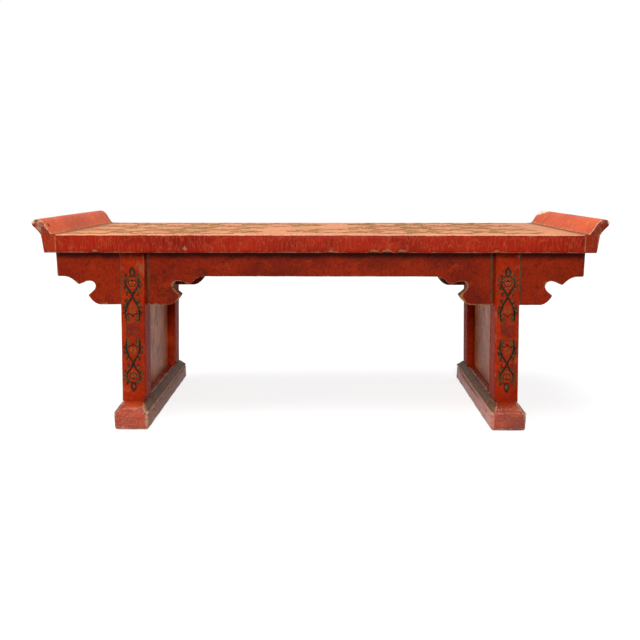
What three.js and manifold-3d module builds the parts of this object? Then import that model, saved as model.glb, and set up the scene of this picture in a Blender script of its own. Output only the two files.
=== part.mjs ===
// Low red-lacquered altar-style display stand: a plank top with upturned ends, carried on two
// side trestles and two long aprons whose cloud-shaped heads are slotted into the leg posts.
// Units are millimetres. +Z is up, the front faces -Y and the origin is the bottom centre.
import * as THREE from "three";
import { mergeVertices } from "three/addons/utils/BufferGeometryUtils.js";
import Module from "manifold-3d";

const wasm = await Module();
wasm.setup();

// Overall sizes
const STAND_DEPTH = 286;
const TOP_HEIGHT = 271.5;
const TOP_THICKNESS = 24.3;
const CLEARANCE = 0.2;
const JOINT_GAP = 0.3;
const JOINT_ROOT = 1;

// Plank top and its end boards
const PLANK_HALF_LENGTH = 351;
const PLANK_JOINT_Y = 9;
const PLANK_TONGUE = { thickness: 6, length: 6 };
const END_BOARD_WIDTH = 16.5;
const END_BOARD_FLARE = 3;
const END_TONGUE = { thickness: 8, length: 10, setback: 10 };

// Upturned end flanges: heights above the top and reaches beyond the plank's end
const FLANGE_HEIGHT = 20.3;
const FLANGE_REACH = 31.5;
const FLANGE_FOOT = 4;
const FLANGE_NOSE = 9;
const FLANGE_TONGUE = { thickness: 4.6, depth: 3.8, centre: 11.7, setback: 15 };

// Leg posts. Their heads stand POST_INSET inside the planks' ends. They splay: the centre moves
// outwards by POST_SPLAY between the top and the foot.
const POST_WIDTH = 33;
const POST_DEPTH = 36;
const POST_INSET = 95.7;
const POST_SPLAY = 6.8;
const FOOT_OVERHANG = 21;
const POST_TENON = { size: 20, length: 24 };
const HEAD_TENON = { width: 24, height: 14, inset: 2 };

// Feet
const FOOT_WIDTH = 48;
const FOOT_HEIGHT = 36;
const FOOT_SIDE_HEIGHT = 24;
const TOE_HEIGHT = 20;

// Aprons, which reach a little past the planks' ends under the end boards. The cloud-shaped heads
// are centred on the posts as they stand at SPANDREL_HEIGHT.
const APRON_THICKNESS = 18;
const APRON_SETBACK = 34;
const APRON_WEB = 10;
const APRON_REACH = 13;
const APRON_DROP = 36;
const SPANDREL_DROP = 75.5;
const SPANDREL_HEIGHT = 163;
const APRON_END_RADIUS = 2.5;
const END_APRON = { thickness: 14, inset: 4, tongueThickness: 7, tongueLength: 5 };

// Side panels and the rails above them
const PANEL_THICKNESS = 8;
const PANEL_HOUSING = 6;
const RAIL_THICKNESS = 24;
const RAIL_HEIGHT = 24;
const RAIL_TENON = { thickness: 12, height: 16, length: 8.7 };

// Battens under the top
const BATTEN = { width: 24, drop: 13, housing: 5, spacing: 150 };

// Wooden pegs
const FOOT_PEG = { radius: 3, height: 18 };
const RAIL_PEG = { radius: 2.5 };
const END_PEG = { radius: 3, length: 19, offset: 5.5, spread: 60 };
const PEG_SIDES = 14;

const postTopCentre = PLANK_HALF_LENGTH - POST_INSET;
const apronHalfLength = PLANK_HALF_LENGTH + APRON_REACH;
const underside = TOP_HEIGHT - TOP_THICKNESS;
const halfDepth = STAND_DEPTH / 2;
const postFront = halfDepth - FOOT_OVERHANG;
const postBack = postFront - POST_DEPTH;
const postMiddle = (postFront + postBack) / 2;
const apronFront = halfDepth - APRON_SETBACK;
const apronBack = apronFront - APRON_THICKNESS;
const apronMiddle = (apronFront + apronBack) / 2;
const webFront = apronMiddle + APRON_WEB / 2;
const webBack = apronMiddle - APRON_WEB / 2;
const railBottom = underside - RAIL_HEIGHT;
const panelBottom = FOOT_HEIGHT - PANEL_HOUSING;
const panelTop = railBottom + PANEL_HOUSING;
const plankMiddle = underside + TOP_THICKNESS / 2;

// Distance of a post's centre line from the stand's middle at a height.
const postCentre = (z) =>
  postTopCentre + (POST_SPLAY * (underside - z)) / (underside - FOOT_HEIGHT);

// A closed geometry as a solid for joining and cutting.
function solid(geometry) {
  const bare = geometry.index ? geometry.toNonIndexed() : geometry.clone();
  bare.deleteAttribute("normal");
  bare.deleteAttribute("uv");
  const merged = mergeVertices(bare, 1e-4);
  return new wasm.Manifold(
    new wasm.Mesh({
      numProp: 3,
      vertProperties: merged.attributes.position.array,
      triVerts: new Uint32Array(merged.index.array),
    }),
  );
}

// A box between two values on each axis.
function block([x0, x1], [y0, y1], [z0, z1]) {
  const box = new THREE.BoxGeometry(Math.abs(x1 - x0), Math.abs(y1 - y0), Math.abs(z1 - z0));
  box.translate((x0 + x1) / 2, (y0 + y1) / 2, (z0 + z1) / 2);
  return solid(box);
}

// A shape drawn in X and Z, drawn out along Y between two values.
function prismAlongY(shape, [y0, y1], curveSegments = 6) {
  const low = Math.min(y0, y1);
  const high = Math.max(y0, y1);
  const drawn = new THREE.ExtrudeGeometry(shape, {
    depth: high - low,
    bevelEnabled: false,
    curveSegments,
  });
  drawn.rotateX(Math.PI / 2);
  drawn.translate(0, high, 0);
  return solid(drawn);
}

// A shape drawn in Y and Z, drawn out along X between two values.
function prismAlongX(shape, [x0, x1], curveSegments = 6) {
  const low = Math.min(x0, x1);
  const drawn = new THREE.ExtrudeGeometry(shape, {
    depth: Math.abs(x1 - x0),
    bevelEnabled: false,
    curveSegments,
  });
  drawn.rotateX(Math.PI / 2);
  drawn.rotateZ(Math.PI / 2);
  drawn.translate(low, 0, 0);
  return solid(drawn);
}

const outline = (points) => new THREE.Shape(points.map(([a, b]) => new THREE.Vector2(a, b)));

// A strip of the given width that follows the splayed post's centre line between two heights.
function leaningStrip(side, width, [z0, z1]) {
  const edge = (z, across) => [side * (postCentre(z) + across), z];
  return outline([
    edge(z0, -width / 2),
    edge(z0, width / 2),
    edge(z1, width / 2),
    edge(z1, -width / 2),
  ]);
}

// A peg's solid along an axis, centred on a point.
function peg(radius, length, axis, [x, y, z]) {
  const rod = new THREE.CylinderGeometry(radius, radius, length, PEG_SIDES);
  if (axis === "x") rod.rotateZ(Math.PI / 2);
  if (axis === "z") rod.rotateX(Math.PI / 2);
  rod.translate(x, y, z);
  return solid(rod);
}

// Half a pair of aprons' cloud-shaped heads, from the middle of the leg outwards: offsets from the
// leg's centre and depths below the underside of the top, mirrored for the inner half.
function spandrelHalf(shape, centre, direction, inward) {
  const at = (across, drop) => [centre + direction * across, underside - drop];
  const thin = APRON_DROP;
  const deep = SPANDREL_DROP;
  const curves = [
    [[57, deep - 1.5], [62, deep - 8.5], [64.6, deep - 13.5]],
    [[60.5, deep - 17.5], [54.5, deep - 20.5], [53.8, deep - 25.5]],
    [[53.4, deep - 30.5], [57, deep - 33.2], [61.5, deep - 33.2]],
    [[68, deep - 33.4], [72.5, deep - 29], [76.9, deep - 28]],
    [[82, deep - 31.5], [86, thin + 0.5], [96, thin]],
  ];
  const start = [49, deep];
  if (!inward) {
    shape.lineTo(...at(...start));
    for (const [a, b, c] of curves) shape.bezierCurveTo(...at(...a), ...at(...b), ...at(...c));
    return;
  }
  const stops = [start, ...curves.map((curve) => curve[2])];
  shape.lineTo(...at(...stops[curves.length]));
  for (let i = curves.length - 1; i >= 0; i--) {
    const [a, b] = curves[i];
    shape.bezierCurveTo(...at(...b), ...at(...a), ...at(...stops[i]));
  }
}

function apronShape() {
  const shape = new THREE.Shape();
  const centre = postCentre(SPANDREL_HEIGHT);
  const end = apronHalfLength;
  const low = underside - APRON_DROP;
  shape.moveTo(-end, underside);
  shape.lineTo(-end, low + APRON_END_RADIUS);
  shape.quadraticCurveTo(-end, low, -end + APRON_END_RADIUS, low);
  spandrelHalf(shape, -centre, -1, true);
  spandrelHalf(shape, -centre, 1, false);
  spandrelHalf(shape, centre, -1, true);
  spandrelHalf(shape, centre, 1, false);
  shape.lineTo(end - APRON_END_RADIUS, low);
  shape.quadraticCurveTo(end, low, end, low + APRON_END_RADIUS);
  shape.lineTo(end, underside);
  shape.closePath();
  return shape;
}

// A long apron. It is trenched on both faces where each forked post clasps it.
function apron(face) {
  let board = prismAlongY(apronShape(), [face * apronBack, face * apronFront], 5);
  const past = 1;
  for (const side of [-1, 1]) {
    const trench = leaningStrip(side, POST_WIDTH + 2 * CLEARANCE, [
      underside - SPANDREL_DROP - past,
      underside + past,
    ]);
    board = board
      .subtract(prismAlongY(trench, [face * webFront, face * (apronFront + past)]))
      .subtract(prismAlongY(trench, [face * (apronBack - past), face * webBack]));
    board = board.subtract(endApronTongue(side, face, CLEARANCE));
  }
  return board;
}

const endApronOuter = apronHalfLength - END_APRON.inset;
const endApronInner = endApronOuter - END_APRON.thickness;

// The tongue at one end of a short apron, or its groove when it is grown by a clearance.
function endApronTongue(side, face, grow) {
  const middle = (endApronOuter + endApronInner) / 2;
  const half = END_APRON.tongueThickness / 2 + grow;
  const past = grow > 0 ? 1 : 0;
  return block(
    [side * (middle - half), side * (middle + half)],
    [
      face * (apronBack - JOINT_ROOT),
      face * (apronBack + END_APRON.tongueLength + grow),
    ],
    [underside - APRON_DROP - past, underside + past],
  );
}

// A short apron that closes the end between the two long ones.
function endApron(side) {
  const board = block(
    [side * endApronInner, side * endApronOuter],
    [-apronBack, apronBack],
    [underside - APRON_DROP, underside],
  );
  return board.add(endApronTongue(side, -1, 0)).add(endApronTongue(side, 1, 0));
}

// The tenon under a post, or its mortise when it is grown by a clearance.
function postTenon(side, face, grow) {
  const half = POST_TENON.size / 2 + grow;
  const x = side * postCentre(FOOT_HEIGHT);
  return block(
    [x - half, x + half],
    [face * (postMiddle - half), face * (postMiddle + half)],
    [FOOT_HEIGHT - POST_TENON.length - grow, FOOT_HEIGHT + JOINT_ROOT],
  );
}

// The two tenons on a post's forked head, or their mortises in the top when grown by a clearance.
function headTenons(side, face, grow) {
  const half = HEAD_TENON.width / 2 + grow;
  const x = side * postCentre(underside);
  const z = [underside - JOINT_ROOT, underside + HEAD_TENON.height + grow];
  const outer = [webFront + HEAD_TENON.inset - grow, postFront - HEAD_TENON.inset + grow];
  const inner = [postBack + HEAD_TENON.inset - grow, webBack - HEAD_TENON.inset + grow];
  const tenon = ([a, b]) => block([x - half, x + half], [face * a, face * b], z);
  return tenon(outer).add(tenon(inner));
}

// The tenon on a rail's end, or its mortise when it is grown by a clearance.
function railTenon(side, face, grow) {
  const x = side * postCentre(railBottom + RAIL_HEIGHT / 2);
  const half = RAIL_TENON.thickness / 2 + grow;
  const middle = railBottom + RAIL_HEIGHT / 2;
  const high = RAIL_TENON.height / 2 + grow;
  return block(
    [x - half, x + half],
    [face * (postBack - JOINT_ROOT), face * (postBack + RAIL_TENON.length + grow)],
    [middle - high, middle + high],
  );
}

function footPeg(side, face, grow) {
  const x = side * postCentre(FOOT_HEIGHT);
  return peg(FOOT_PEG.radius + grow, FOOT_WIDTH + (grow > 0 ? 2 : 0), "x", [
    x,
    face * postMiddle,
    FOOT_PEG.height,
  ]);
}

function railPeg(side, face, grow) {
  const z = railBottom + RAIL_HEIGHT / 2;
  const y = (postBack + webBack) / 2;
  const length = POST_WIDTH - 2 * CLEARANCE + (grow > 0 ? 4 : 0);
  return peg(RAIL_PEG.radius + grow, length, "x", [side * postCentre(z), face * y, z]);
}

// The panel of one side trestle, or the groove that holds it when it is grown by a clearance.
function sidePanel(side, grow) {
  const strip = leaningStrip(side, PANEL_THICKNESS + 2 * grow, [
    panelBottom - grow,
    panelTop + grow,
  ]);
  const reach = postBack + PANEL_HOUSING - JOINT_GAP + (grow > 0 ? JOINT_GAP : 0);
  return prismAlongY(strip, [-reach, reach]);
}

// A leg post: forked at the head around the apron, grooved for the panel, mortised for the rail.
function post(side, face) {
  const stem = leaningStrip(side, POST_WIDTH, [FOOT_HEIGHT, underside]);
  const slot = leaningStrip(side, POST_WIDTH + 4, [
    underside - SPANDREL_DROP - CLEARANCE,
    underside + 1,
  ]);
  return prismAlongY(stem, [face * postBack, face * postFront])
    .add(headTenons(side, face, 0))
    .subtract(prismAlongY(slot, [face * (webBack - CLEARANCE), face * (webFront + CLEARANCE)]))
    .add(postTenon(side, face, 0))
    .subtract(sidePanel(side, CLEARANCE))
    .subtract(railTenon(side, face, CLEARANCE))
    .subtract(footPeg(side, face, CLEARANCE))
    .subtract(railPeg(side, face, CLEARANCE));
}

// The rail over a side panel, between its two posts.
function sideRail(side) {
  const x = side * postCentre(railBottom + RAIL_HEIGHT / 2);
  let rail = block(
    [x - RAIL_THICKNESS / 2, x + RAIL_THICKNESS / 2],
    [-postBack, postBack],
    [railBottom, underside],
  );
  for (const face of [-1, 1]) {
    rail = rail.add(railTenon(side, face, 0)).subtract(railPeg(side, face, CLEARANCE));
  }
  return rail.subtract(sidePanel(side, CLEARANCE));
}

// A sledge foot: shouldered along both long edges and sloped down to a toe at each end.
function foot(side) {
  const centre = side * postCentre(FOOT_HEIGHT);
  const half = FOOT_WIDTH / 2;
  const ridge = POST_WIDTH / 2;
  const section = outline([
    [centre - half, 0],
    [centre + half, 0],
    [centre + half, FOOT_SIDE_HEIGHT],
    [centre + ridge, FOOT_HEIGHT],
    [centre - ridge, FOOT_HEIGHT],
    [centre - half, FOOT_SIDE_HEIGHT],
  ]);
  const profile = new THREE.Shape();
  const crest = postFront + 1;
  profile.moveTo(-halfDepth, 0);
  profile.lineTo(halfDepth, 0);
  profile.lineTo(halfDepth, TOE_HEIGHT);
  profile.quadraticCurveTo(halfDepth - 1, FOOT_HEIGHT - 2, crest, FOOT_HEIGHT);
  profile.lineTo(-crest, FOOT_HEIGHT);
  profile.quadraticCurveTo(-halfDepth + 1, FOOT_HEIGHT - 2, -halfDepth, TOE_HEIGHT);
  profile.closePath();
  const along = prismAlongX(profile, [centre - half - 1, centre + half + 1], 6);
  let runner = prismAlongY(section, [-halfDepth, halfDepth]).intersect(along);
  for (const face of [-1, 1]) {
    runner = runner
      .subtract(postTenon(side, face, CLEARANCE))
      .subtract(footPeg(side, face, CLEARANCE));
  }
  return runner.subtract(sidePanel(side, CLEARANCE));
}

// One batten under the top, or its housing when it is grown by a clearance.
function batten(x, grow) {
  const half = BATTEN.width / 2 + grow;
  const reach = apronBack - JOINT_GAP + grow;
  const bottom = grow > 0 ? underside - 1 : underside - BATTEN.drop;
  return block(
    [x - half, x + half],
    [-reach, reach],
    [bottom, underside + BATTEN.housing + grow],
  );
}

const battenPlaces = [-BATTEN.spacing, 0, BATTEN.spacing];

// The stub tongue on the end of a plank, or its groove when it is grown by a clearance.
function endTongue(side, [y0, y1], grow) {
  const half = END_TONGUE.thickness / 2 + grow;
  return block(
    [
      side * (PLANK_HALF_LENGTH - JOINT_ROOT),
      side * (PLANK_HALF_LENGTH + END_TONGUE.length + grow),
    ],
    [y0 - grow, y1 + grow],
    [plankMiddle - half, plankMiddle + half],
  );
}

function endPeg(side, face, grow) {
  const middle = underside + END_PEG.length / 2;
  return peg(END_PEG.radius + grow, END_PEG.length + 2 * grow, "z", [
    side * (PLANK_HALF_LENGTH + END_PEG.offset),
    face * END_PEG.spread,
    middle,
  ]);
}

const tongueEdge = halfDepth - END_TONGUE.setback;

// Cuts that both planks of the top share.
function cutPlank(board) {
  let cut = board;
  for (const side of [-1, 1]) {
    for (const face of [-1, 1]) {
      cut = cut
        .subtract(headTenons(side, face, CLEARANCE))
        .subtract(endPeg(side, face, CLEARANCE));
    }
  }
  for (const x of battenPlaces) cut = cut.subtract(batten(x, CLEARANCE));
  return cut;
}

function plankTongue(grow) {
  const half = PLANK_TONGUE.thickness / 2 + grow;
  return block(
    [-PLANK_HALF_LENGTH - (grow > 0 ? 1 : 0), PLANK_HALF_LENGTH + (grow > 0 ? 1 : 0)],
    [PLANK_JOINT_Y - JOINT_ROOT, PLANK_JOINT_Y + PLANK_TONGUE.length + grow],
    [plankMiddle - half, plankMiddle + half],
  );
}

function frontPlank() {
  const x = [-PLANK_HALF_LENGTH, PLANK_HALF_LENGTH];
  const board = block(x, [-halfDepth, PLANK_JOINT_Y], [underside, TOP_HEIGHT])
    .add(plankTongue(0))
    .add(endTongue(-1, [-tongueEdge, PLANK_JOINT_Y], 0))
    .add(endTongue(1, [-tongueEdge, PLANK_JOINT_Y], 0));
  return cutPlank(board);
}

function backPlank() {
  const x = [-PLANK_HALF_LENGTH, PLANK_HALF_LENGTH];
  const start = PLANK_JOINT_Y + PLANK_TONGUE.length + CLEARANCE;
  const board = block(x, [PLANK_JOINT_Y, halfDepth], [underside, TOP_HEIGHT])
    .subtract(plankTongue(CLEARANCE))
    .add(endTongue(-1, [start, tongueEdge], 0))
    .add(endTongue(1, [start, tongueEdge], 0));
  return cutPlank(board);
}

// The tongue under a flange, or its groove when it is grown by a clearance.
function flangeTongue(side, grow) {
  const middle = PLANK_HALF_LENGTH + FLANGE_TONGUE.centre;
  const half = FLANGE_TONGUE.thickness / 2 + grow;
  const reach = halfDepth - FLANGE_TONGUE.setback + grow;
  return block(
    [side * (middle - half), side * (middle + half)],
    [-reach, reach],
    [TOP_HEIGHT - FLANGE_TONGUE.depth - grow, TOP_HEIGHT + JOINT_ROOT],
  );
}

// The board across the end of the planks.
function endBoard(side) {
  const inner = side * PLANK_HALF_LENGTH;
  const outer = side * (PLANK_HALF_LENGTH + END_BOARD_WIDTH);
  const shape = outline([
    [inner, underside],
    [outer, underside],
    [outer + side * END_BOARD_FLARE, TOP_HEIGHT],
    [inner, TOP_HEIGHT],
  ]);
  return prismAlongY(shape, [-halfDepth, halfDepth])
    .subtract(endTongue(side, [-tongueEdge, tongueEdge], CLEARANCE))
    .subtract(flangeTongue(side, CLEARANCE))
    .subtract(endPeg(side, -1, CLEARANCE))
    .subtract(endPeg(side, 1, CLEARANCE));
}

// The upturned flange on an end board: an S-shaped slope inside, a cove outside and a blunt nose.
function flange(side) {
  const shape = new THREE.Shape();
  const reach = FLANGE_REACH;
  const rise = FLANGE_HEIGHT;
  const at = (across, up) => [side * (PLANK_HALF_LENGTH + across), TOP_HEIGHT + up];
  const base = END_BOARD_WIDTH + END_BOARD_FLARE;
  const foot = FLANGE_FOOT;
  const crest = reach - FLANGE_NOSE;
  shape.moveTo(...at(foot, 0));
  shape.lineTo(...at(base, 0));
  shape.bezierCurveTo(
    ...at(base + 3, rise * 0.32),
    ...at(reach, rise * 0.57),
    ...at(reach, rise * 0.8),
  );
  shape.quadraticCurveTo(...at(reach - 1, rise * 1.01), ...at(crest, rise));
  shape.bezierCurveTo(
    ...at(crest - FLANGE_NOSE, rise * 0.97),
    ...at(foot + 6, rise * 0.3),
    ...at(foot + 1, rise * 0.05),
  );
  shape.closePath();
  return prismAlongY(shape, [-halfDepth, halfDepth], 7).add(flangeTongue(side, 0));
}

// Finishes
const vermilion = new THREE.MeshStandardMaterial({
  color: 0xa32a16,
  roughness: 0.45,
  metalness: 0,
});
const agedRed = new THREE.MeshStandardMaterial({ color: 0x6b2c1c, roughness: 0.4, metalness: 0 });
const bareWood = new THREE.MeshStandardMaterial({ color: 0x6d4a2f, roughness: 0.8, metalness: 0 });

const stand = new THREE.Group();

function addPiece(name, shape, material) {
  const mesh = shape.getMesh();
  const geometry = new THREE.BufferGeometry();
  geometry.setAttribute("position", new THREE.BufferAttribute(mesh.vertProperties, 3));
  geometry.setIndex(new THREE.BufferAttribute(mesh.triVerts, 1));
  const piece = new THREE.Mesh(geometry.toNonIndexed(), material);
  piece.geometry.computeVertexNormals();
  piece.name = name;
  stand.add(piece);
}

addPiece("top_front_plank", frontPlank(), vermilion);
addPiece("top_back_plank", backPlank(), vermilion);
["left", "middle", "right"].forEach((place, i) => {
  addPiece(`${place}_batten`, batten(battenPlaces[i], 0), bareWood);
});

for (const [face, facing] of [
  [-1, "front"],
  [1, "back"],
]) {
  addPiece(`${facing}_apron`, apron(face), vermilion);
}

for (const [side, hand] of [
  [-1, "left"],
  [1, "right"],
]) {
  addPiece(`${hand}_end_board`, endBoard(side), vermilion);
  addPiece(`${hand}_flange`, flange(side), vermilion);
  addPiece(`${hand}_end_apron`, endApron(side), vermilion);
  addPiece(`${hand}_foot`, foot(side), vermilion);
  addPiece(`${hand}_side_rail`, sideRail(side), vermilion);
  addPiece(`${hand}_side_panel`, sidePanel(side, 0), agedRed);
  for (const [face, facing] of [
    [-1, "front"],
    [1, "back"],
  ]) {
    addPiece(`${hand}_${facing}_post`, post(side, face), vermilion);
    addPiece(`${hand}_${facing}_foot_peg`, footPeg(side, face, 0), bareWood);
    addPiece(`${hand}_${facing}_rail_peg`, railPeg(side, face, 0), bareWood);
    addPiece(`${hand}_${facing}_end_peg`, endPeg(side, face, 0), bareWood);
  }
}

export default stand;
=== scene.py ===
import math
import random

import bmesh
import bpy
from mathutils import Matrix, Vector, bvhtree, kdtree, noise


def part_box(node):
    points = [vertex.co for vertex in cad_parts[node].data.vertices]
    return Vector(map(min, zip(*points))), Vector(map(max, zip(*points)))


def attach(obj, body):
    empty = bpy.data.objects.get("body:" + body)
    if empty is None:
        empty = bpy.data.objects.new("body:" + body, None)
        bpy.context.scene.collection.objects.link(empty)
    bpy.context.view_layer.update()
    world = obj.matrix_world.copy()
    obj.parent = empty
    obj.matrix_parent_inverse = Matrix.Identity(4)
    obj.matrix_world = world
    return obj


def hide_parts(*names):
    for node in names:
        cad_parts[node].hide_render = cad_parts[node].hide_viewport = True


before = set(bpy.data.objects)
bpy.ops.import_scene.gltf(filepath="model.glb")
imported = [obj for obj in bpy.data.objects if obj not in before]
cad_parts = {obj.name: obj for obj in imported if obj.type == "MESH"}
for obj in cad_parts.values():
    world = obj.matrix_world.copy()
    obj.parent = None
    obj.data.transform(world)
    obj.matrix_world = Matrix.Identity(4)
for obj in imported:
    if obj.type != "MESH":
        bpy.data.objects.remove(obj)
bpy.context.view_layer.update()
print("frame loaded:", len(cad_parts), "pieces")

# camera
view = {"place": (0.010, -1.128, 0.3432), "tilt": 79.29, "turn": 0.543, "lens": 41.77}
cameraData = bpy.data.cameras.new("camera")
cameraData.lens = view["lens"]
cameraData.sensor_width = 36.0
camera = bpy.data.objects.new("camera", cameraData)
camera.location = view["place"]
camera.rotation_euler = (math.radians(view["tilt"]), 0.0, math.radians(view["turn"]))
bpy.context.scene.collection.objects.link(camera)
bpy.context.scene.camera = camera
bpy.context.scene.view_settings.view_transform = "Standard"

# sizes of the stand that the painting follows, in metres
stand = {
    "topHeight": 0.2715,
    "underside": 0.2472,
    "postFront": 0.122,
    "postTopCentre": 0.2553,
    "postSplay": 0.0068,
    "footHeight": 0.036,
    "plankEnd": 0.351,
}


def postCentre(z):
    drop = (stand["underside"] - z) / (stand["underside"] - stand["footHeight"])
    return stand["postTopCentre"] + stand["postSplay"] * drop


def tone(code):  # a screen colour such as bc341c as the linear colour a shader takes
    parts = [int(code[i:i + 2], 16) / 255 for i in (0, 2, 4)]
    return [p / 12.92 if p <= 0.04045 else ((p + 0.055) / 1.055) ** 2.4 for p in parts] + [1.0]


# shader sums
class Link:  # a socket that takes part in sums
    def __init__(self, tree, socket):
        self.tree = tree
        self.socket = socket

    def sum(self, kind, other, flip=False):
        pair = [other, self] if flip else [self, other]
        return self.tree.add("ShaderNodeMath", {"operation": kind}, pair)

    def __add__(self, other):
        return self.sum("ADD", other)

    def __radd__(self, other):
        return self.sum("ADD", other)

    def __sub__(self, other):
        return self.sum("SUBTRACT", other)

    def __rsub__(self, other):
        return self.sum("SUBTRACT", other, True)

    def __mul__(self, other):
        return self.sum("MULTIPLY", other)

    def __rmul__(self, other):
        return self.sum("MULTIPLY", other)

    def __truediv__(self, other):
        return self.sum("DIVIDE", other)

    def __pow__(self, other):
        return self.sum("POWER", other)

    def held(self):  # kept between 0 and 1
        return self.tree.add("ShaderNodeMath", {"operation": "ADD", "use_clamp": True}, [self, 0.0])

    def least(self, other):
        return self.sum("MINIMUM", other)

    def most(self, other):
        return self.sum("MAXIMUM", other)

    def size(self):
        return self.tree.add("ShaderNodeMath", {"operation": "ABSOLUTE"}, [self])

    def rise(self, low, high):  # 0 below low, 1 above high, smooth between
        return self.tree.add(
            "ShaderNodeMapRange", {"interpolation_type": "SMOOTHSTEP"}, [self, low, high, 0.0, 1.0])


class Finish:  # one material and its nodes
    def __init__(self, name):
        self.material = bpy.data.materials.new(name)
        self.material.use_nodes = True
        self.nodes = self.material.node_tree.nodes
        self.links = self.material.node_tree.links
        self.shader = self.nodes["Principled BSDF"]

    def add(self, kind, settings=None, values=(), out=0):
        node = self.nodes.new(kind)
        for key, value in (settings or {}).items():
            setattr(node, key, value)
        pairs = values.items() if isinstance(values, dict) else enumerate(values)
        for key, value in pairs:
            if isinstance(value, Link):
                self.links.new(value.socket, node.inputs[key])
            elif value is not None:
                node.inputs[key].default_value = value
        return Link(self, node.outputs[out])

    def place(self, stretch=(1.0, 1.0, 1.0)):  # the object's own coordinates, stretched
        where = self.add("ShaderNodeTexCoord", out="Object")
        if tuple(stretch) == (1.0, 1.0, 1.0):
            return where
        return self.add(
            "ShaderNodeVectorMath", {"operation": "MULTIPLY"}, [where, tuple(stretch)])

    def parts(self, vector):
        node = self.nodes.new("ShaderNodeSeparateXYZ")
        self.links.new(vector.socket, node.inputs[0])
        return [Link(self, out) for out in node.outputs]

    def cloud(self, scale, detail=4.0, rough=0.55, stretch=(1.0, 1.0, 1.0), warp=0.0):
        return self.add(
            "ShaderNodeTexNoise", None,
            {"Vector": self.place(stretch), "Scale": scale, "Detail": detail,
             "Roughness": rough, "Distortion": warp})

    def mixed(self, amount, first, second, kind="MIX"):
        node = self.nodes.new("ShaderNodeMix")
        node.data_type = "RGBA"
        node.blend_type = kind
        for key, value in ((0, amount), (6, first), (7, second)):
            if isinstance(value, Link):
                self.links.new(value.socket, node.inputs[key])
            else:
                node.inputs[key].default_value = value
        return Link(self, node.outputs[2])

    def mark(self, name):  # a value stored on the mesh
        return self.add(
            "ShaderNodeAttribute", {"attribute_type": "GEOMETRY", "attribute_name": name}, out="Fac")

    def feed(self, **values):
        names = {"colour": "Base Color", "rough": "Roughness", "coat": "Coat Weight",
                 "coatRough": "Coat Roughness", "normal": "Normal", "shine": "Specular IOR Level",
                 "glow": "Emission Strength", "glowColour": "Emission Color"}
        for key, value in values.items():
            socket = self.shader.inputs[names[key]]
            if isinstance(value, Link):
                self.links.new(value.socket, socket)
            else:
                socket.default_value = value

    def bump(self, height, depth):
        return self.add(
            "ShaderNodeBump", None, {"Height": height, "Strength": 1.0, "Distance": depth})


# lacquer
lacquerLook = {
    "main": "b0321c",  # the body of the lacquer
    "deep": "8e2415",  # its darker patches
    "bright": "c8482a",  # its rubbed patches
    "line": "c77763",  # the pale strokes of the crackle
    "crack": "47150d",  # the dark side of the crackle
    "worn": "9c7258",  # the ground coat on rubbed edges
    "dirt": "34170f",  # old dirt
    "chipped": "e4bc98",  # where the lacquer has come off
    "under": 0.0,  # painted shadow close under the top, where its overhang shades the piece
    "crackle": (230.0, 60.0, 50.0),  # how close the cracks stand along X, Y and Z, per metre
    "sway": 0.9,  # how far the cracks wander
    "paleLines": 0.0,
    "lineWidth": 0.09,  # of a cell
    "darkLines": 0.35,
    "wear": 0.5,
    "wornFrom": 0.66,  # how near the edge the rubbed rim begins, 1 at the edge itself
    "dirtAmount": 0.35,
    "rough": 0.36,
    "coat": 0.03,
    "shine": 0.12,
    "relief": 0.00025,
}


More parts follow.
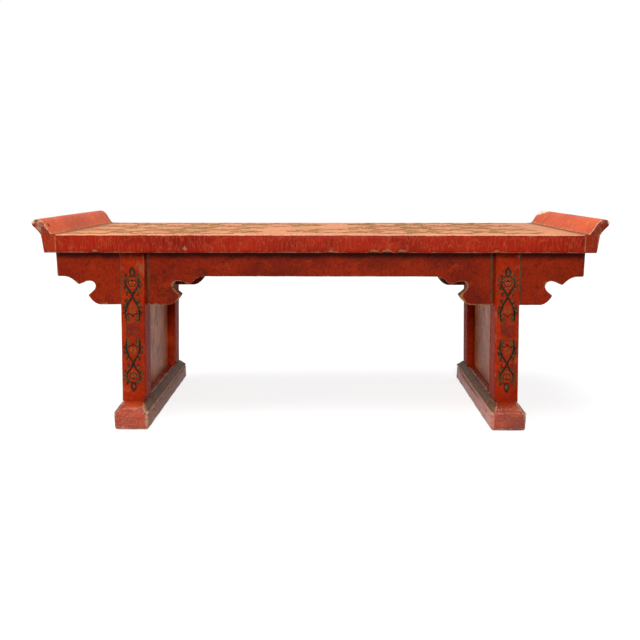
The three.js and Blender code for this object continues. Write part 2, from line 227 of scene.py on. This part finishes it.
def lacquer(name, **changes):
    look = {**lacquerLook, **changes}
    finish = Finish(name)
    broad = finish.cloud(9.0, 5.0, 0.6)
    patch = finish.cloud(38.0, 5.0, 0.62, warp=0.6)
    fine = finish.cloud(210.0, 4.0, 0.6)
    speck = finish.cloud(520.0, 2.0, 0.6)
    arris = finish.mark("arris")

    colour = finish.mixed(broad.rise(0.42, 0.66), tone(look["main"]), tone(look["deep"]))
    colour = finish.mixed(patch.rise(0.52, 0.74) * 0.75, colour, tone(look["bright"]))
    colour = finish.mixed(fine.rise(0.56, 0.72) * 0.35, colour, tone(look["deep"]))

    # crackle: cells drawn out across the boards, with wavy borders
    wave = finish.add(
        "ShaderNodeTexNoise", None,
        {"Vector": finish.place(), "Scale": 120.0, "Detail": 3.0, "Roughness": 0.6}, out="Color")
    wave = finish.add("ShaderNodeVectorMath", {"operation": "SCALE"}, {0: wave, "Scale": look["sway"]})
    cells = finish.add(
        "ShaderNodeVectorMath", {"operation": "ADD"}, [finish.place(look["crackle"]), wave])
    border = finish.add(
        "ShaderNodeTexVoronoi", {"feature": "DISTANCE_TO_EDGE"},
        {"Vector": cells, "Scale": 1.0, "Randomness": 0.85}, out="Distance")
    open_ = 1.0 - border.rise(0.02, 0.10)
    pale = (1.0 - border.rise(0.02, look["lineWidth"])) * finish.cloud(70.0, 3.0).rise(0.30, 0.50)
    colour = finish.mixed(pale * look["paleLines"], colour, tone(look["line"]))
    colour = finish.mixed(
        open_ * fine.rise(0.35, 0.6) * look["darkLines"], colour, tone(look["crack"]))

    # dirt in patches, painted shadow under the top, then edges rubbed through to the ground coat and
    # to bare wood, and painted shade in holes
    dirt = finish.cloud(24.0, 6.0, 0.68).rise(0.55, 0.75) * look["dirtAmount"]
    colour = finish.mixed(dirt, colour, tone(look["dirt"]))
    # painted shadow: darker just under the top, where the top's overhang shades the aprons and posts
    level = finish.add("ShaderNodeSeparateXYZ", None, [finish.place()], out="Z")
    paintedShadowUnderTop = (level + (patch - 0.5) * 0.012).rise(
        stand["underside"] - 0.0130, stand["underside"] - 0.0050)
    colour = finish.mixed(paintedShadowUnderTop * look["under"], colour, tone("240a05"))
    rubbed = (arris + (patch - 0.5) * 1.5 + (fine - 0.5) * 0.8).rise(
        look["wornFrom"], look["wornFrom"] + 0.32) * look["wear"]
    edged = (arris + (fine - 0.5) * 1.1).rise(0.35, 0.6) * 0.5
    colour = finish.mixed(edged, colour, tone(look["deep"]))
    colour = finish.mixed(rubbed, colour, tone(look["worn"]))
    chipped = finish.mark("chip")
    colour = finish.mixed(chipped.rise(0.25, 0.6), colour, tone(look["chipped"]))
    # painted shade: holes darkened nearly to black
    colour = finish.mixed(finish.mark("hole").rise(0.1, 0.5), colour, tone("1c0d08"))

    rough = look["rough"] + (patch - 0.5) * 0.25 + rubbed * 0.35 + dirt * 0.3 + chipped * 0.3
    height = patch * 0.5 + fine * 0.35 + speck * 0.08 - open_ * 0.35 - rubbed * 0.3
    finish.feed(colour=colour, rough=rough.held(), coat=look["coat"], coatRough=0.3,
                shine=look["shine"], normal=finish.bump(height, look["relief"]))
    return finish.material


def plainWood(name, light, dark):  # unfinished wood under the top, and the pegs
    finish = Finish(name)
    rings = finish.cloud(60.0, 6.0, 0.6, stretch=(0.6, 5.0, 5.0), warp=0.4)
    grime = finish.cloud(14.0, 4.0)
    colour = finish.mixed(rings.rise(0.35, 0.68), tone(light), tone(dark))
    colour = finish.mixed(grime.rise(0.5, 0.75) * 0.5, colour, tone("2b1a10"))
    finish.feed(colour=colour, rough=(0.72 + (rings - 0.5) * 0.25).held(),
                normal=finish.bump(rings, 0.0004))
    return finish.material


def paint(name, main, second, bare, cover=0.5):  # ornament colours, thin and rubbed
    finish = Finish(name)
    tint = finish.cloud(160.0, 4.0)
    gone = finish.cloud(330.0, 4.0, 0.65).rise(cover, cover + 0.12)
    colour = finish.mixed(tint.rise(0.4, 0.65), tone(main), tone(second))
    colour = finish.mixed(gone * 0.8, colour, tone(bare))
    finish.feed(colour=colour, rough=(0.55 + gone * 0.15).held(), shine=0.1,
                normal=finish.bump(tint, 0.0002))
    return finish.material


edgeLacquer = lacquer("edge_lacquer", main="9a1c06", deep="781204", bright="ae280c",
                      crackle=(250.0, 60.0, 40.0), sway=0.7, paleLines=0.55, line="bc4c28",
                      darkLines=0.4, dirtAmount=0.25, rough=0.46, shine=0.06, worn="c88a68",
                      wear=0.3, wornFrom=0.66, chipped="9c6648")
endLacquer = lacquer("end_lacquer", main="842c16", deep="621e10", bright="963a1e",
                     crackle=(140.0, 90.0, 70.0), paleLines=0.2, dirtAmount=0.35, rough=0.5,
                     shine=0.08, worn="d0a080", wear=0.65, wornFrom=0.6)
endBoardLacquer = lacquer("end_board_lacquer", main="a22c10", deep="7c200e", bright="b43e1c",
                          crackle=(160.0, 90.0, 60.0), paleLines=0.3, line="c06040",
                          darkLines=0.5, dirtAmount=0.5, rough=0.48, shine=0.06, worn="c89478",
                          wear=0.5, wornFrom=0.6)
# the top's own lacquer, painted much paler than the edge's as painted sheen of grazing light on the
# top
topLacquerWithPaintedSheen = lacquer("top_lacquer_with_painted_sheen", main="dc8a54", deep="c67640", bright="e6a266",
                     crackle=(90.0, 90.0, 90.0), paleLines=0.15, darkLines=0.25, rough=0.5,
                     worn="e6b898", wear=0.75, wornFrom=0.55, dirtAmount=0.25)
flangeLacquer = lacquer("flange_lacquer", main="da5a26", deep="c44a1c", bright="e2763e",
                        crackle=(60.0, 120.0, 60.0), paleLines=0.2, rough=0.5, dirtAmount=0.12,
                        worn="dcae88", wear=0.85, wornFrom=0.5, chipped="f0dcba")
# the posts and aprons take painted shadow close under the top
postLacquer = lacquer("post_lacquer", main="ac2e0c", deep="8a2008", bright="c44414",
                      crackle=(60.0, 60.0, 110.0), darkLines=0.4, rough=0.5, dirtAmount=0.45,
                      coat=0.0, shine=0.03, under=0.85)
apronLacquer = lacquer("apron_lacquer", main="962606", deep="741a06", bright="ac340e",
                       crackle=(190.0, 90.0, 110.0), darkLines=0.65, dirtAmount=0.65, rough=0.5,
                       shine=0.05, worn="ac8058", wear=0.75, wornFrom=0.56, under=0.85)
panelLacquer = lacquer("panel_lacquer", main="de8a60", deep="b46444", bright="eeaa82",
                       crackle=(60.0, 50.0, 20.0), darkLines=0.25, dirtAmount=0.3, rough=0.36,
                       coat=0.0, shine=0.09, worn="8a6a54", relief=0.0012)
footLacquer = lacquer("foot_lacquer", main="ae3e1a", deep="8c2e10", bright="be5630",
                      crackle=(30.0, 30.0, 90.0), darkLines=0.3, rough=0.24, relief=0.0022,
                      dirtAmount=0.35, wear=0.85, wornFrom=0.5, worn="b8866c", shine=0.4)
# the right foot's sides take a paler copy of the lacquer, as painted light from the left
footSidesWithPaintedLight = {
    "left": lacquer("left_foot_side", main="a8603e", deep="84442a", bright="c08462",
                    crackle=(30.0, 60.0, 90.0), darkLines=0.3, rough=0.36, relief=0.0012,
                    dirtAmount=0.35, wear=0.85, wornFrom=0.55, worn="c49a7c", shine=0.04),
    "right": lacquer("right_foot_side_lit", main="dc8470", deep="bc6454", bright="eaa898",
                     crackle=(30.0, 60.0, 90.0), darkLines=0.3, rough=0.36, relief=0.0012,
                     dirtAmount=0.2, wear=0.85, wornFrom=0.55, worn="d0a488", shine=0.12),
}
footLedgeLacquer = lacquer("foot_ledge_lacquer", main="7e5236", deep="5c3c28", bright="9c7450",
                           crackle=(30.0, 60.0, 90.0), darkLines=0.4, rough=0.40, relief=0.0012,
                           dirtAmount=0.5, wear=0.6, wornFrom=0.7, worn="b0825c", shine=0.03)
bareWood = plainWood("bare_wood", "7a5436", "4d321f")
print("finishes made")


# worn pieces
solids = {}
for nodeName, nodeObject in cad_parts.items():
    corners = [v.co.copy() for v in nodeObject.data.vertices]
    faces = [tuple(p.vertices) for p in nodeObject.data.polygons]
    solids[nodeName] = (corners, faces)


def othersOf(node):  # every other piece as one tree, to tell an open edge from a joint
    lows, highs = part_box(node)
    corners, faces = [], []
    for name, (points, loops) in solids.items():
        if name == node:
            continue
        low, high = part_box(name)
        if any(low[i] > highs[i] + 0.004 or high[i] < lows[i] - 0.004 for i in range(3)):
            continue
        start = len(corners)
        corners += points
        faces += [tuple(start + i for i in loop) for loop in loops]
    return bvhtree.BVHTree.FromPolygons(corners, faces) if faces else None


def isOpen(edge, tree):  # both faces beside the edge look out into free air
    a, b = edge.verts[0].co, edge.verts[1].co
    for face in edge.link_faces:
        inward = face.normal.cross(b - a)
        if inward.length < 1e-9:
            return False
        inward.normalize()
        middle = face.calc_center_median()
        if inward.dot(middle - a) < 0:
            inward = -inward
        free = False
        for share in (0.3, 0.5, 0.7):
            probe = a.lerp(b, share) + face.normal * 0.0012 + inward * 0.0006
            near = tree.find_nearest(probe, 0.001) if tree else (None,)
            free = free or near[0] is None
        if not free:
            return False
    return True


def slices(low, high, step, spots=()):  # cut places, closer together near the chips
    places = []
    at = low + step
    while at < high - step * 0.3:
        places.append(at)
        fine = any(abs(at - spot) < 0.012 for spot in spots)
        at += step / 3 if fine else step
    return places


def dress(node, finishes, step=(0.006, 0.006, 0.006), rounding=0.0014, wear=0.0006,
          chips=(), holes=(), reach=0.005, choose=None, turn=28.0):
    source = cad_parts[node]
    tree = othersOf(node)
    mesh = source.data.copy()
    mesh.name = node + "_worn"
    bm = bmesh.new()
    bm.from_mesh(mesh)
    bmesh.ops.remove_doubles(bm, verts=bm.verts, dist=2e-6)
    bmesh.ops.dissolve_limit(bm, angle_limit=math.radians(0.8), verts=bm.verts, edges=bm.edges)
    bm.normal_update()
    ridges = []
    for edge in bm.edges:
        if len(edge.link_faces) == 2 and edge.calc_face_angle(0.0) > math.radians(turn):
            if isOpen(edge, tree):
                ridges.append(edge)
    lines = [(e.verts[0].co.copy(), e.verts[1].co.copy(), e.is_convex) for e in ridges]
    if ridges:
        bmesh.ops.bevel(
            bm, geom=ridges, offset=rounding, offset_type="OFFSET", segments=3, profile=0.5,
            affect="EDGES", clamp_overlap=False, miter_outer="ARC", loop_slide=True)
    lows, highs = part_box(node)
    for axis in range(3):
        if not step[axis]:
            continue
        across = Vector([1.0 if i == axis else 0.0 for i in range(3)])
        spots = [chip[0][axis] for chip in (*chips, *holes)]
        for at in slices(lows[axis], highs[axis], step[axis], spots):
            bmesh.ops.bisect_plane(
                bm, geom=bm.verts[:] + bm.edges[:] + bm.faces[:], dist=1e-6,
                plane_co=across * at, plane_no=across)
    bm.normal_update()

    points = []
    for a, b, convex in lines:
        if not convex:
            continue
        count = max(1, int((b - a).length / 0.0015))
        points += [a.lerp(b, i / count) for i in range(count + 1)]
    ridgeTree = kdtree.KDTree(max(1, len(points)))
    for i, point in enumerate(points):
        ridgeTree.insert(point, i)
    ridgeTree.balance()

    arrisLayer = bm.verts.layers.float.new("arris")
    chipLayer = bm.verts.layers.float.new("chip")
    holeLayer = bm.verts.layers.float.new("hole")
    moves = []
    for vert in bm.verts:
        near = ridgeTree.find(vert.co)[2] if points else 1.0
        arris = max(0.0, 1.0 - near / reach)
        vert[arrisLayer] = arris
        push = 0.0
        if arris > 0.0:
            roughness = 0.5 + 0.5 * noise.fractal(vert.co * 55.0, 0.8, 2.1, 3)
            push = wear * arris ** 1.5 * max(0.0, roughness)
        chipped = 0.0
        for centre, size, depth in chips:
            away = (vert.co - Vector(centre)).length / size
            away += 0.25 * noise.noise(vert.co * 420.0)
            if away < 1.0:
                chipped = max(chipped, min(1.0, 2.0 - 2.0 * away))
                push += depth * (1.0 - away * away)
        vert[chipLayer] = chipped
        for centre, size, depth in holes:
            away = (vert.co - Vector(centre)).length / size
            if away < 1.0:
                vert[holeLayer] = 1.0 - away
                push += depth * (1.0 - away)
        moves.append((vert, vert.normal * -push))
    for vert, move in moves:
        vert.co += move

    for face in bm.faces:
        face.smooth = True
        face.material_index = choose(face) if choose else 0
    bm.normal_update()
    mesh.materials.clear()
    for finish in finishes:
        mesh.materials.append(finish)
    bm.to_mesh(mesh)
    bm.free()
    mesh.set_sharp_from_angle(angle=math.radians(34.0))
    piece = bpy.data.objects.new(node + "_worn", mesh)
    bpy.context.scene.collection.objects.link(piece)
    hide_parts(node)
    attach(piece, "root")
    return piece


plank = {
    "step": (0.006, 0.006, 0.006),
    "frontChips": [((-0.2990, -0.143, 0.2475), 0.0050, 0.0022),
                   ((-0.1790, -0.143, 0.2530), 0.0034, 0.0013),
                   ((0.0160, -0.143, 0.2475), 0.0045, 0.0016),
                   ((0.0720, -0.143, 0.2468), 0.0070, 0.0026),
                   ((0.0900, -0.143, 0.2468), 0.0080, 0.0028),
                   ((0.1100, -0.143, 0.2468), 0.0070, 0.0022),
                   ((0.2350, -0.143, 0.2472), 0.0045, 0.0016)],
}


def topOrEdge(face):
    return 0 if face.normal.z > 0.35 else 1


for name in ("top_front_plank", "top_back_plank"):
    dress(name, [topLacquerWithPaintedSheen, edgeLacquer], plank["step"], choose=topOrEdge,
          chips=plank["frontChips"] if "front" in name else [])
for hand in ("left", "right"):
    dress(hand + "_end_board", [endBoardLacquer], (0.006, 0.006, 0.006))
print("top dressed")

flange = {
    "leftChips": [((-0.3800, -0.1430, 0.2885), 0.0045, 0.0010)],
    "leftHoles": [((-0.3625, -0.1290, 0.2835), 0.0042, 0.0030)],
    "rightHoles": [],
    "rightChips": [((0.3705, 0.1385, 0.2900), 0.0110, 0.0014),
                   ((0.3710, 0.1260, 0.2905), 0.0100, 0.0010),
                   ((0.3725, 0.1130, 0.2910), 0.0080, 0.0008),
                   ((0.3820, -0.1425, 0.2890), 0.0050, 0.0012)],
}


def slopeOrEnd(face):  # the end grain is browner than the slopes
    return 1 if abs(face.normal.y) > 0.8 else 0


for hand in ("left", "right"):
    dress(hand + "_flange", [flangeLacquer, endLacquer], (0.004, 0.006, 0.0),
          rounding=0.0009, wear=0.0005, chips=flange[hand + "Chips"], reach=0.0035,
          holes=flange[hand + "Holes"], choose=slopeOrEnd)



def frontOrSide(face):  # the feet's ends, their long sides and the dusty ledges above them
    if abs(face.normal.x) < 0.3:
        return 0
    return 2 if face.normal.z > 0.4 else 1


for hand in ("left", "right"):
    for facing in ("front", "back"):
        dress(f"{hand}_{facing}_post", [postLacquer], (0.0, 0.006, 0.006), rounding=0.0020,
              wear=0.0007, reach=0.0045)
    dress(hand + "_foot", [footLacquer, footSidesWithPaintedLight[hand], footLedgeLacquer],
          (0.006, 0.006, 0.006), rounding=0.0038, wear=0.0012, reach=0.009, choose=frontOrSide)
    dress(hand + "_side_panel", [panelLacquer], (0.0, 0.012, 0.012))
    dress(hand + "_side_rail", [postLacquer], (0.0, 0.012, 0.0))
    dress(hand + "_end_apron", [apronLacquer], (0.0, 0.008, 0.006))
print("trestles dressed")

for facing in ("front", "back"):
    dress(facing + "_apron", [apronLacquer], (0.006, 0.0, 0.006), rounding=0.0010,
          wear=0.0007, reach=0.0035)
for name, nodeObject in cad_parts.items():
    if name.endswith("_peg") or name.endswith("_batten"):
        for i in range(len(nodeObject.data.materials)):
            nodeObject.material_slots[i].material = bareWood
print("aprons dressed")


# painted ornament
def smoothPath(points, steps=5):
    path = []
    for i in range(len(points) - 1):
        before = points[max(i - 1, 0)]
        a, b = points[i], points[i + 1]
        after = points[min(i + 2, len(points) - 1)]
        for k in range(steps):
            t = k / steps
            path.append(tuple(
                0.5 * (2 * a[j] + (b[j] - before[j]) * t
                       + (2 * before[j] - 5 * a[j] + 4 * b[j] - after[j]) * t * t
                       + (3 * a[j] - before[j] - 3 * b[j] + after[j]) * t ** 3)
                for j in (0, 1)))
    path.append(tuple(points[-1]))
    return path


class Painting:  # flat strokes laid on a face of the stand
    def __init__(self, place, outward):
        self.place = place
        self.outward = Vector(outward)
        self.layers = {}
        self.level = 0

    def ribbon(self, colour, path, widths):
        if colour not in self.layers:
            self.layers[colour] = bmesh.new()
        bm = self.layers[colour]
        self.level += 1
        lift = self.outward * (0.00020 + 0.000004 * (self.level % 40))
        rows = []
        for i, (u, v) in enumerate(path):
            a, b = path[max(i - 1, 0)], path[min(i + 1, len(path) - 1)]
            du, dv = b[0] - a[0], b[1] - a[1]
            size = math.hypot(du, dv) or 1.0
            half = widths[i] / 2
            across = (-dv / size * half, du / size * half)
            sides = [Vector(self.place(u + k * across[0], v + k * across[1])) for k in (1, -1)]
            rows.append([bm.verts.new(side + lift) for side in sides])
        for (a, b), (c, d) in zip(rows, rows[1:]):
            face = bm.faces.new((a, b, d, c))
            face.normal_update()
            if face.normal.dot(self.outward) < 0:
                face.normal_flip()

    def stroke(self, colour, points, width, thinEnds=True):
        path = smoothPath(points)
        last = len(path) - 1
        widths = []
        for i in range(last + 1):
            t = i / last
            swell = min(1.0, 0.35 + 3.0 * min(t, 1 - t)) if thinEnds else 1.0
            widths.append(width * swell * (1.0 + 0.18 * math.sin(i * 1.7)))
        self.ribbon(colour, path, widths)

    def leaf(self, colour, base, tip, width, bend=0.0):
        du, dv = tip[0] - base[0], tip[1] - base[1]
        path, widths = [], []
        for i in range(9):
            t = i / 8
            sway = bend * math.sin(math.pi * t)
            path.append((base[0] + du * t - dv * sway, base[1] + dv * t + du * sway))
            widths.append(max(0.02 * width, width * math.sin(math.pi * t ** 0.8) ** 0.9))
        self.ribbon(colour, path, widths)

    def curl(self, colour, start, way, size, width, spin=1.0):
        points = []
        for i in range(8):
            t = i / 7
            angle = way + spin * 4.4 * t
            radius = size * (1.0 - 0.72 * t)
            points.append((start[0] + size * math.cos(way + math.pi) * -1
                           + radius * math.cos(angle + math.pi),
                           start[1] + size * math.sin(way + math.pi) * -1
                           + radius * math.sin(angle + math.pi)))
        self.stroke(colour, points, width)

    def finish(self, name, finishes):
        for colour, bm in self.layers.items():
            mesh = bpy.data.meshes.new(f"{name}_{colour}")
            bm.to_mesh(mesh)
            bm.free()
            mesh.materials.append(finishes[colour])
            piece = bpy.data.objects.new(f"{name}_{colour}", mesh)
            bpy.context.scene.collection.objects.link(piece)
            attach(piece, "root")


vinePaint = paint("vine_paint", "140e08", "2c1c0e", "8e2c10", 0.60)
leafPaint = paint("leaf_paint", "3a3016", "54401c", "9c3412", 0.50)
rubbedPaint = paint("cartouche_paint", "6c1c10", "7a2610", "a8360f", 0.57)
petalPaint = paint("petal_paint", "904a1c", "703412", "a83c14", 0.50)
goldPaint = paint("gold_paint", "b88a48", "a87436", "cc7434", 0.5)
mossPaint = paint("moss_paint", "8a6c38", "9c7440", "cc7434", 0.47)
seamPaint = paint("seam_paint", "d8a684", "b87c5c", "8e2410", 0.53)
# dark paint for the painted shadow line along the upturned ends' crease, and for the real scratches on
# the side panels
creaseShadowAndScratchPaint = paint("crease_shadow_and_scratch_paint", "3c1a10", "542a1a", "a04420", 0.56)
grimePaint = paint("grime_paint", "54301c", "6a3e24", "8c2608", 0.50)
duskPaint = paint("dusk_paint", "8c6644", "7a5438", "c06428", 0.50)
vine = {
    "top": 0.2256,
    "scale": 0.000202,
    "across": 0.000194,
    "length": 865.0,
    "leaves": [((16, 70), (58, 44), 22), ((44, 88), (72, 74), 20), ((48, 108), (76, 110), 20),
               ((40, 134), (70, 146), 20), ((24, 158), (56, 170), 16), ((44, 96), (26, 110), 14),
               ((18, 226), (50, 206), 15), ((34, 256), (68, 250), 18), ((46, 284), (74, 288), 18),
               ((44, 286), (24, 272), 14), ((50, 312), (34, 300), 14), ((48, 300), (58, 380), 26),
               ((38, 334), (34, 384), 20)],
    "petals": [((3, 124), (26, 98), 18), ((2, 110), (10, 78), 14), ((4, 128), (22, 142), 12),
               ((2, 300), (20, 272), 16), ((2, 286), (6, 254), 12), ((4, 306), (24, 306), 13)],
    "curls": [((40, 138), 0.4, 12, 1), ((22, 236), -0.5, 18, -1), ((46, 276), 0.2, 12, 1),
              ((18, 176), 0.7, 16, 1), ((50, 316), 0.0, 11, 1), ((30, 64), -0.8, 12, -1)],
}


def paintPost(hand, side):
    def halfPost(flip):
        def place(u, v):
            if flip:
                v = vine["length"] - v
            z = vine["top"] - v * vine["scale"]
            return (side * postCentre(z) + u * vine["across"],
                    -stand["postFront"], z)
        return place

    for flip in (False, True):
        work = Painting(halfPost(flip), (0, -1, 0))
        work.leaf("vine", (0, 66), (0, -8), 44)
        work.leaf("leaf", (0, 58), (0, 10), 26)
        for way in (-1, 1):
            strand = [(2, 58), (24, 64), (45, 86), (48, 114), (34, 142), (15, 166), (4, 190),
                      (-5, 208), (-16, 228), (-32, 252), (-45, 284), (-51, 318), (-49, 348),
                      (-44, 372)]
            work.stroke("vine", [(way * u, v) for u, v in strand], 14)
            for start, tip, width in vine["leaves"]:
                work.leaf("leaf", (way * start[0], start[1]), (way * tip[0], tip[1]), width,
                          way * 0.2)
            for start, tip, width in vine["petals"]:
                work.leaf("petal", (way * start[0], start[1]), (way * tip[0], tip[1]), width,
                          way * 0.2)
            for start, turn, size, spin in vine["curls"]:
                angle = turn if way > 0 else math.pi - turn
                work.curl("vine", (way * start[0], start[1]), angle, size, 8, way * spin)
            work.stroke("vine", [(way * 46, 330), (way * 26, 316), (way * 8, 326), (0, 342)], 7)
            work.stroke("vine", [(way * 24, 86), (way * 28, 104), (way * 14, 126), (0, 132)], 6)
        work.stroke("vine", [(-22, 86), (-8, 94), (0, 86), (8, 94), (22, 86)], 7)
        end = "low" if flip else "high"
        work.finish(f"{hand}_post_vine_{end}",
                    {"vine": vinePaint, "leaf": leafPaint, "petal": petalPaint})

    draw = random.Random(7 if side < 0 else 11)
    patch = Painting(halfPost(False), (0, -1, 0))
    for u in range(-44, 45, 8):
        rows = [(u + draw.uniform(-2, 2), v) for v in range(380, 492, 8)]
        start, stop = draw.randrange(3), len(rows) - draw.randrange(3)
        widths = [9 + draw.uniform(-2, 2) for _ in rows]
        patch.ribbon("cartouche", rows[start:stop], widths[start:stop])
    patch.finish(f"{hand}_post", {"cartouche": rubbedPaint})


paintPost("left", -1)
paintPost("right", 1)


seam = {"joint": 0.351, "crease": 0.3543, "front": -0.143, "start": -0.1405, "pace": 0.003,
        "count": 94, "apron": -0.109, "beside": 0.0192}


def paintTop():
    def spray(cx, cy, size, way, work, draw):
        work.leaf("gold", (cx - 0.010 * size, cy), (cx + 0.010 * size, cy), 0.014 * size)
        for k in range(7):
            angle = 2 * math.pi * k / 7 + draw.uniform(-0.2, 0.2)
            a = (cx + 0.009 * size * math.cos(angle), cy + 0.009 * size * math.sin(angle))
            b = (cx + 0.026 * size * math.cos(angle), cy + 0.024 * size * math.sin(angle))
            work.leaf("moss", a, b, 0.012 * size, 0.15)
        for k in (-1, 1):
            work.stroke("moss", [(cx, cy + k * 0.02 * size), (cx + way * 0.025, cy + k * 0.035),
                                 (cx + way * 0.05, cy + k * 0.03), (cx + way * 0.07, cy + k * 0.01)],
                        0.0028)
            for j in range(4):
                t = 0.012 + 0.016 * j
                work.leaf("moss", (cx + way * t, cy + k * 0.033),
                          (cx + way * (t + 0.014), cy + k * (0.033 + 0.013 * (-1) ** j)), 0.007,
                          0.2)

    work = Painting(lambda u, v: (u, v, stand["topHeight"]), (0, 0, 1))
    draw = random.Random(5)
    spray(-0.02, -0.07, 1.2, 1, work, draw)
    spray(-0.02, 0.07, 1.2, -1, work, draw)
    for way in (-1, 1):
        for cx, size in ((0.085, 1.0), (0.165, 1.15), (0.255, 1.0)):
            for cy in (-0.085, 0.0, 0.085):
                spray(-0.02 + way * cx, cy, size, way, work, draw)
    work.finish("top_sprays", {"moss": mossPaint, "gold": goldPaint})

    # worn lines, and a painted shadow line along the crease, where the end boards and the upturned
    # ends meet the top
    seams = Painting(lambda u, v: (u, v, stand["topHeight"]), (0, 0, 1))
    fronts = Painting(lambda u, v: (u, seam["front"], v), (0, -1, 0))
    for way in (-1, 1):
        def line(work, colour, x, width, places):
            rows = [(way * (x + draw.uniform(-0.0002, 0.0002)), place) for place in places]
            work.ribbon(colour, rows, [width * draw.uniform(0.7, 1.3) for _ in rows])

        depth = [seam["start"] + seam["pace"] * i for i in range(seam["count"])]
        line(seams, "dusk", seam["joint"] - 0.0015, 0.0070, depth)
        # painted shadow: a dark line along the crease at the foot of each upturned end
        line(seams, "crease", seam["crease"], 0.0014, depth)
        line(seams, "pale", seam["joint"], 0.0010, depth[:12])
        line(fronts, "dusk", seam["joint"], 0.0014,
             [stand["underside"] + 0.002 + 0.0017 * i for i in range(13)])
    # dirt gathered beside the legs on the front apron
    corners = Painting(lambda u, v: (u, seam["apron"], v), (0, -1, 0))
    heights = [stand["underside"] - 0.002 - 0.003 * i for i in range(24)]
    for way in (-1, 1):
        for hand in (-1, 1):
            rows = [(way * postCentre(z) + hand * (seam["beside"] + draw.uniform(0, 0.0006)), z)
                    for z in heights]
            corners.ribbon("grime", rows, [0.0042 * draw.uniform(0.6, 1.3) for _ in rows])
    corners.finish("apron_corners", {"grime": grimePaint})
    seams.finish("top_seams", {"dusk": duskPaint, "crease": creaseShadowAndScratchPaint, "pale": seamPaint})
    fronts.finish("front_seams", {"dusk": duskPaint})


def paintPanels():  # scratches down the inner faces of the side panels
    draw = random.Random(3)
    for way in (-1, 1):
        work = Painting(lambda u, v: (way * (postCentre(v) - 0.004), u, v), (-way, 0, 0))
        for _ in range(14):
            y, z = draw.uniform(-0.080, 0.060), draw.uniform(0.060, 0.150)
            length, lean = draw.uniform(0.008, 0.032), draw.uniform(0.5, 1.1)
            points = [(y + length * lean * t + draw.uniform(-0.001, 0.001), z + length * t)
                      for t in (0, 0.3, 0.6, 1.0)]
            work.stroke("scratch", points, draw.uniform(0.0006, 0.0013))
        work.finish(("left" if way < 0 else "right") + "_panel", {"scratch": creaseShadowAndScratchPaint})


paintTop()
paintPanels()
print("ornament painted")

# floor, light and background
floorMesh = bpy.data.meshes.new("floor")
reachOut = 6.0
floorMesh.from_pydata(
    [(-reachOut, -reachOut, 0), (reachOut, -reachOut, 0), (reachOut, reachOut, 0),
     (-reachOut, reachOut, 0)], [], [(0, 1, 2, 3)])
floor = bpy.data.objects.new("floor", floorMesh)
bpy.context.scene.collection.objects.link(floor)
floorFinish = Finish("floor_finish")
seenRay = floorFinish.add("ShaderNodeLightPath", out="Is Camera Ray")
for ray in ("Is Glossy Ray", "Is Transmission Ray"):
    seenRay = seenRay.most(floorFinish.add("ShaderNodeLightPath", out=ray))
far = floorFinish.add(
    "ShaderNodeVectorMath", {"operation": "LENGTH"}, [floorFinish.place()], out="Value")
far = far.rise(0.5, 2.2)
white, black = (1.0, 1.0, 1.0, 1.0), (0.0, 0.0, 0.0, 1.0)
glow = floorFinish.mixed(seenRay * (0.76 + far * 0.24), black, white)
floorFinish.feed(colour=(0.5, 0.5, 0.5, 1.0), rough=1.0, shine=0.0, glowColour=glow, glow=1.0)
floorMesh.materials.append(floorFinish.material)

world = bpy.data.worlds.new("studio")
bpy.context.scene.world = world
world.use_nodes = True
worldNodes = world.node_tree.nodes
background = worldNodes["Background"]
rays = worldNodes.new("ShaderNodeLightPath")
seen = worldNodes.new("ShaderNodeMath")
seen.operation = "MAXIMUM"
world.node_tree.links.new(rays.outputs["Is Camera Ray"], seen.inputs[0])
world.node_tree.links.new(rays.outputs["Is Glossy Ray"], seen.inputs[1])
clear = worldNodes.new("ShaderNodeMath")
clear.operation = "MAXIMUM"
world.node_tree.links.new(seen.outputs[0], clear.inputs[0])
world.node_tree.links.new(rays.outputs["Is Transmission Ray"], clear.inputs[1])
strength = worldNodes.new("ShaderNodeMapRange")
strength.inputs["To Min"].default_value = 0.2
strength.inputs["To Max"].default_value = 1.0
world.node_tree.links.new(clear.outputs[0], strength.inputs["Value"])
world.node_tree.links.new(strength.outputs[0], background.inputs["Strength"])
background.inputs["Color"].default_value = (1.0, 1.0, 1.0, 1.0)

lamps = {
    "window": {"place": (0.1, -1.9, 0.80), "size": 0.4, "power": 19.0},
    "overhead": {"place": (-0.2, -0.4, 1.9), "size": 1.2, "power": 27.0},
    "side": {"place": (-1.5, -0.5, 0.6), "size": 0.8, "power": 8.0},
}
for name, lamp in lamps.items():
    light = bpy.data.lights.new(name, "AREA")
    light.size = lamp["size"]
    light.energy = lamp["power"]
    lampObject = bpy.data.objects.new(name, light)
    lampObject.location = lamp["place"]
    aim = Vector((0.0, 0.0, 0.15)) - Vector(lamp["place"])
    lampObject.rotation_euler = aim.to_track_quat("-Z", "Y").to_euler()
    bpy.context.scene.collection.objects.link(lampObject)
print("lights set")
